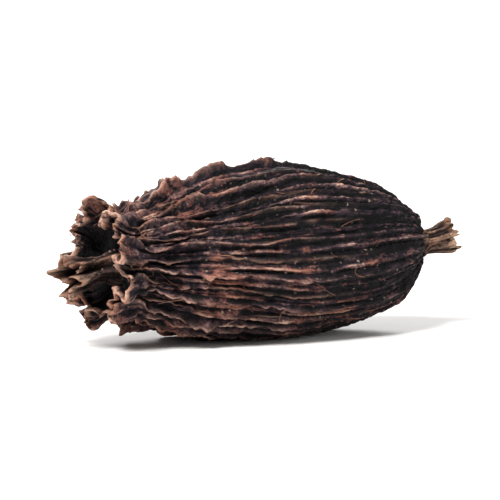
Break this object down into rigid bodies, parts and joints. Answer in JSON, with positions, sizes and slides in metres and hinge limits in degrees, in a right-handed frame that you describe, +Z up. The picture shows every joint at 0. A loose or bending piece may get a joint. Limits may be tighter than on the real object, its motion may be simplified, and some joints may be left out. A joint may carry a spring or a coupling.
{
  "type": "black cardamom pod",
  "caption": "Dried black cardamom pod lying on its side: ribbed, blunt three-sided husk with a ruffled collar, a withered calyx tube and a snapped stub of stalk. Used as a whole spice.",
  "frame": {"origin": "centre of the pod's box on the surface it lies on", "axes": "+Z up, +X along the pod towards its stalk end, so the ruffled collar and calyx point along -X"},
  "size_m": [0.0422, 0.0175, 0.016],
  "materials": {
    "husk_skin": "dry, ribbed and fibrous, matt with a faint sheen on the ribs",
    "calyx_fibre": "papery, crumpled and matt",
    "stalk_wood": "dry woody fibre, matt"
  },
  "bodies": {
    "root": {"husk": "husk_skin", "calyx": "calyx_fibre", "stalk": "stalk_wood"}
  },
  "joints": []
}
